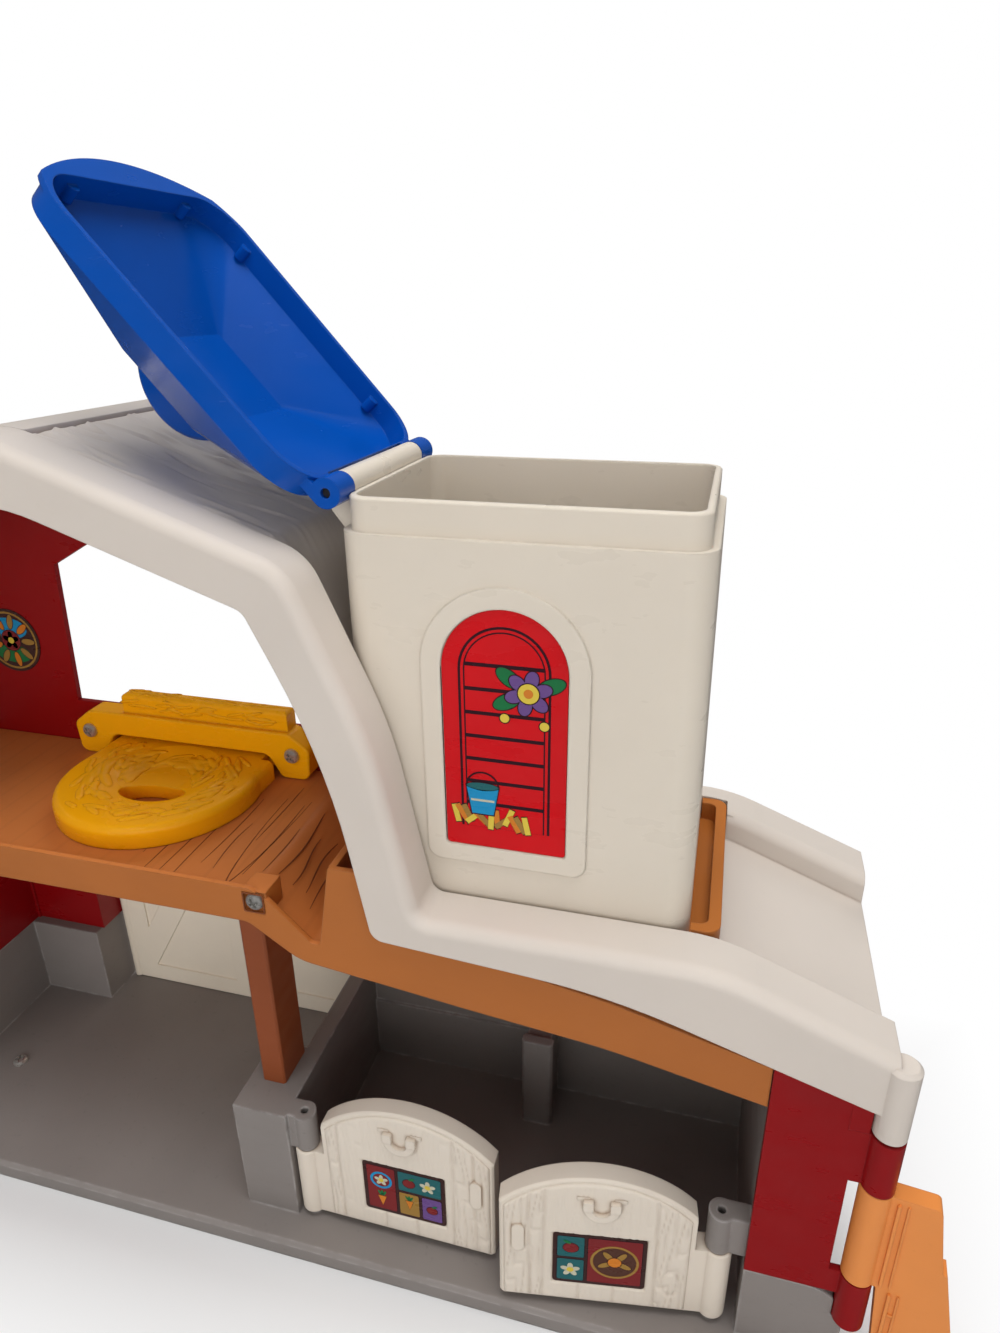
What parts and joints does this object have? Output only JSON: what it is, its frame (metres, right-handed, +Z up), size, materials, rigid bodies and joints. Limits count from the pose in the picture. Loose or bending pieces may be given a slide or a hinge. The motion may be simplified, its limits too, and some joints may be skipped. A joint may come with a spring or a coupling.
{
  "type": "toy barn",
  "caption": "Open-fronted toy barn with a gambrel roof, lift-up silo lid, stall gates, back barn doors, loft with hay holder and a hinged fence panel.",
  "frame": {"origin": "middle of the base's underside", "axes": "+X to the right seen from the open front, +Y from the front to the back, +Z up"},
  "size_m": [0.4666, 0.1217, 0.4014],
  "materials": {
    "base_grey": "satin",
    "wall_red": "satin gloss",
    "roof_white": "satin gloss",
    "gate_white": "satin",
    "deck_orange": "satin",
    "post_brown": "satin",
    "lid_blue": "gloss",
    "fence_orange": "satin",
    "hay_yellow": "satin gloss",
    "steel": "satin",
    "label_silo": "printed film",
    "label_gate": "printed film",
    "label_wall": "printed film"
  },
  "bodies": {
    "barn": {"base_tray": "base_grey", "base_screw": "steel", "end_wall_left": "wall_red", "end_wall_right": "wall_red", "back_wall": "wall_red", "wall_label": "label_wall", "roof": "roof_white", "loft_deck": "deck_orange", "loft_screws": "steel", "loft_post": "post_brown", "silo_tray": "deck_orange", "silo_body": "roof_white", "silo_label": "label_silo", "lid_pin": "steel", "gate_pins": "steel", "fence_pin": "steel", "hay_bracket": "hay_yellow", "hay_screws": "steel"},
    "lid": {"silo_lid": "lid_blue"},
    "left_gate": {"stall_gate_left": "gate_white", "gate_label_left": "label_gate"},
    "right_gate": {"stall_gate_right": "gate_white", "gate_label_right": "label_gate"},
    "left_door": {"barn_door_left": "gate_white"},
    "right_door": {"barn_door_right": "gate_white"},
    "fence": {"fence_panel": "fence_orange"},
    "hay": {"hay_flap": "hay_yellow"}
  },
  "joints": [
    {"name": "lid_hinge", "type": "hinge", "parent": "barn", "child": "lid", "pos_m": [0.0272, 0.01085, 0.3086], "axis": [0, 1, 0], "range_deg": [0, 131.4]},
    {"name": "left_gate_hinge", "type": "hinge", "parent": "barn", "child": "left_gate", "pos_m": [0.0003, -0.0423, 0.028], "axis": [0, 0, -1], "range_deg": [0, 105]},
    {"name": "right_gate_hinge", "type": "hinge", "parent": "barn", "child": "right_gate", "pos_m": [0.162, -0.0423, 0.028], "axis": [0, 0, 1], "range_deg": [-8.9, 100]},
    {"name": "left_door_hinge", "type": "hinge", "parent": "barn", "child": "left_door", "pos_m": [-0.1591, 0.0585, 0.07], "axis": [0, 0, 1], "range_deg": [0, 105]},
    {"name": "right_door_hinge", "type": "hinge", "parent": "barn", "child": "right_door", "pos_m": [-0.0049, 0.0585, 0.07], "axis": [0, 0, -1], "range_deg": [0, 105]},
    {"name": "fence_hinge", "type": "hinge", "parent": "barn", "child": "fence", "pos_m": [0.2073, -0.047, 0.077], "axis": [0, 0, 1], "range_deg": [-85, 85]},
    {"name": "hay_hinge", "type": "hinge", "parent": "barn", "child": "hay", "pos_m": [-0.082, 0.0375, 0.173], "axis": [-1, 0, 0], "range_deg": [0, 15]}
  ]
}
